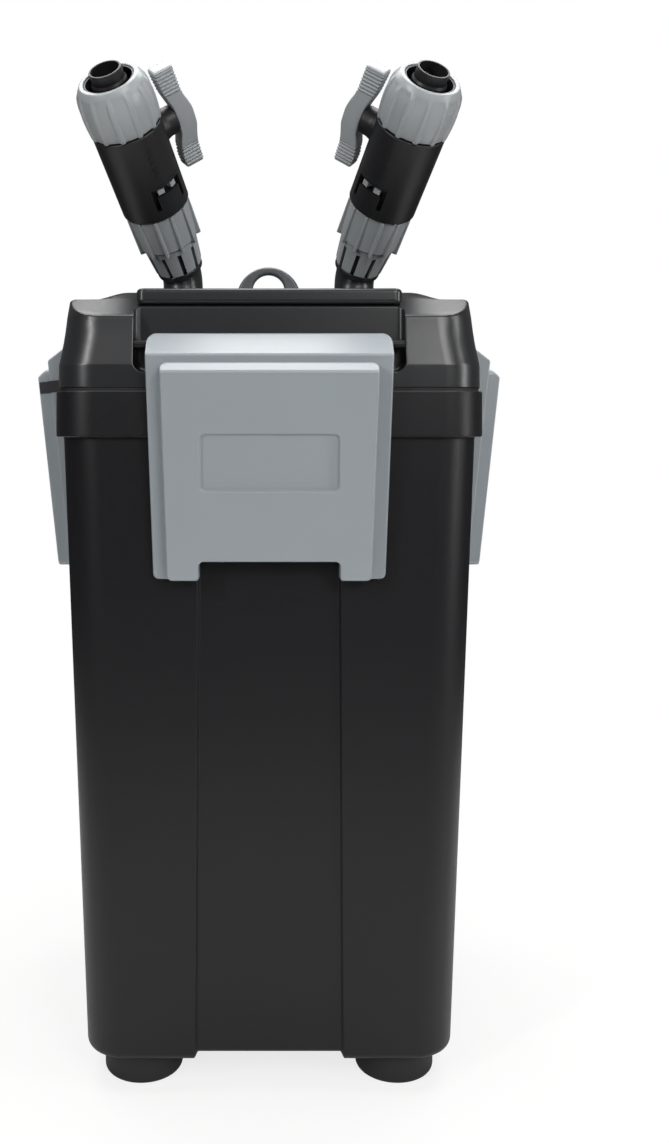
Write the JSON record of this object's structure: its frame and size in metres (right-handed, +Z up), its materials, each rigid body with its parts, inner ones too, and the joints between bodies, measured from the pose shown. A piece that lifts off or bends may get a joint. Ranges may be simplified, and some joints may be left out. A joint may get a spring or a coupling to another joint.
{
  "type": "canister filter",
  "caption": "Square external aquarium canister filter with a tapered tub, lid held by wide grey clips, swivelling hose valves with levers and a priming pull ring.",
  "frame": {"origin": "on the floor under the middle of the tub, in the plane of the feet", "axes": "+Z up; -Y is the front, towards which both hose valves lean; +X is the right-hand side seen from the front"},
  "size_m": [0.2396, 0.2396, 0.5076],
  "materials": {
    "tub_black": "fine satin moulding",
    "lid_black": "satin moulding",
    "valve_black": "fine matte moulding",
    "inner_black": "matte moulding",
    "grey_plastic": "satin moulding",
    "plunger_grey": "satin moulding",
    "basket_grey": "matte moulding",
    "white_plastic": "matte moulding",
    "riser_blue": "matte extrusion",
    "label_black": "bare film",
    "rubber_black": "matte",
    "steel": "brushed",
    "ceramic": "ground ceramic",
    "ferrite": "bare ferrite",
    "motor": "laminations and windings potted in resin",
    "coarse_foam": "open-cell foam",
    "medium_foam": "open-cell foam",
    "fine_foam": "fine fibre pad"
  },
  "bodies": {
    "housing": {"tub": "tub_black", "front_left_foot": "rubber_black", "front_right_foot": "rubber_black", "rear_left_foot": "rubber_black", "rear_right_foot": "rubber_black", "lid_gasket": "rubber_black", "lid": "lid_black", "head_base": "inner_black", "head_screws": "steel", "cable_gland": "rubber_black", "motor_block": "motor", "impeller_shaft": "ceramic", "upper_shaft_bush": "rubber_black", "lower_shaft_bush": "rubber_black", "pump_cover": "inner_black", "priming_cylinder": "inner_black", "priming_flap": "rubber_black", "riser_pipe": "riser_blue", "riser_seal": "rubber_black", "lower_basket": "basket_grey", "middle_basket": "basket_grey", "upper_basket": "basket_grey", "basket_cover": "basket_grey", "lower_foam_pad": "coarse_foam", "middle_foam_pad": "medium_foam", "upper_foam_pad": "fine_foam", "front_hinge_pin": "steel", "rear_hinge_pin": "steel", "left_hinge_pin": "steel", "right_hinge_pin": "steel"},
    "rotor": {"impeller": "white_plastic", "rotor_magnet": "ferrite"},
    "plunger": {"priming_plunger": "plunger_grey", "plunger_seal": "rubber_black"},
    "front_clip": {"front_clip": "grey_plastic"},
    "rear_clip": {"rear_clip": "grey_plastic"},
    "left_clip": {"left_clip": "grey_plastic", "left_clip_label": "label_black"},
    "right_clip": {"right_clip": "grey_plastic"},
    "left_tap": {"left_elbow": "lid_black", "left_elbow_seal": "rubber_black", "left_elbow_ring": "steel", "left_valve_body": "valve_black", "left_hose_tail": "valve_black"},
    "left_collet": {"left_collet": "grey_plastic"},
    "left_valve": {"left_lever": "grey_plastic", "left_valve_ball": "steel"},
    "left_nut": {"left_hose_nut": "grey_plastic"},
    "right_tap": {"right_elbow": "lid_black", "right_elbow_seal": "rubber_black", "right_elbow_ring": "steel", "right_valve_body": "valve_black", "right_hose_tail": "valve_black"},
    "right_collet": {"right_collet": "grey_plastic"},
    "right_valve": {"right_lever": "grey_plastic", "right_valve_ball": "steel"},
    "right_nut": {"right_hose_nut": "grey_plastic"}
  },
  "joints": [
    {"name": "right_clip_hinge", "type": "hinge", "parent": "housing", "child": "right_clip", "pos_m": [0.0985, 0, 0.3625], "axis": [0, -1, 0], "range_deg": [0, 100]},
    {"name": "rear_clip_hinge", "type": "hinge", "parent": "housing", "child": "rear_clip", "pos_m": [0, 0.0985, 0.3625], "axis": [1, 0, 0], "range_deg": [0, 100]},
    {"name": "left_clip_hinge", "type": "hinge", "parent": "housing", "child": "left_clip", "pos_m": [-0.0985, 0, 0.3625], "axis": [0, 1, 0], "range_deg": [0, 100]},
    {"name": "front_clip_hinge", "type": "hinge", "parent": "housing", "child": "front_clip", "pos_m": [0, -0.0985, 0.3625], "axis": [-1, 0, 0], "range_deg": [0, 100]},
    {"name": "left_elbow_swivel", "type": "hinge", "parent": "housing", "child": "left_tap", "pos_m": [-0.048, 0, 0.39], "axis": [0, 0, 1], "range_deg": [-130, 20]},
    {"name": "left_collet_turn", "type": "hinge", "parent": "left_tap", "child": "left_collet", "pos_m": [-0.05461, -0.01857, 0.42634], "axis": [-0.2453, -0.689, 0.682], "range_deg": [0, 60]},
    {"name": "left_lever_turn", "type": "hinge", "parent": "left_tap", "child": "left_valve", "pos_m": [-0.06982, -0.06129, 0.46863], "axis": [0.8279, 0.2171, 0.5171], "range_deg": [0, 90]},
    {"name": "left_hose_nut_turn", "type": "hinge", "parent": "left_tap", "child": "left_nut", "pos_m": [-0.07522, -0.07645, 0.48363], "axis": [-0.2453, -0.689, 0.682], "continuous": true},
    {"name": "right_elbow_swivel", "type": "hinge", "parent": "housing", "child": "right_tap", "pos_m": [0.048, 0, 0.39], "axis": [0, 0, 1], "range_deg": [-20, 130]},
    {"name": "right_collet_turn", "type": "hinge", "parent": "right_tap", "child": "right_collet", "pos_m": [0.05461, -0.01857, 0.42634], "axis": [0.2453, -0.689, 0.682], "range_deg": [0, 60]},
    {"name": "right_lever_turn", "type": "hinge", "parent": "right_tap", "child": "right_valve", "pos_m": [0.06982, -0.06129, 0.46863], "axis": [0.8279, -0.2171, -0.5171], "range_deg": [0, 90]},
    {"name": "right_hose_nut_turn", "type": "hinge", "parent": "right_tap", "child": "right_nut", "pos_m": [0.07522, -0.07645, 0.48363], "axis": [0.2453, -0.689, 0.682], "continuous": true},
    {"name": "priming_stroke", "type": "slide", "parent": "housing", "child": "plunger", "axis": [0, 0, 1], "range_m": [0, 0.026]},
    {"name": "impeller_spin", "type": "hinge", "parent": "housing", "child": "rotor", "pos_m": [0, 0.05, 0.335], "axis": [0, 0, 1], "continuous": true}
  ]
}
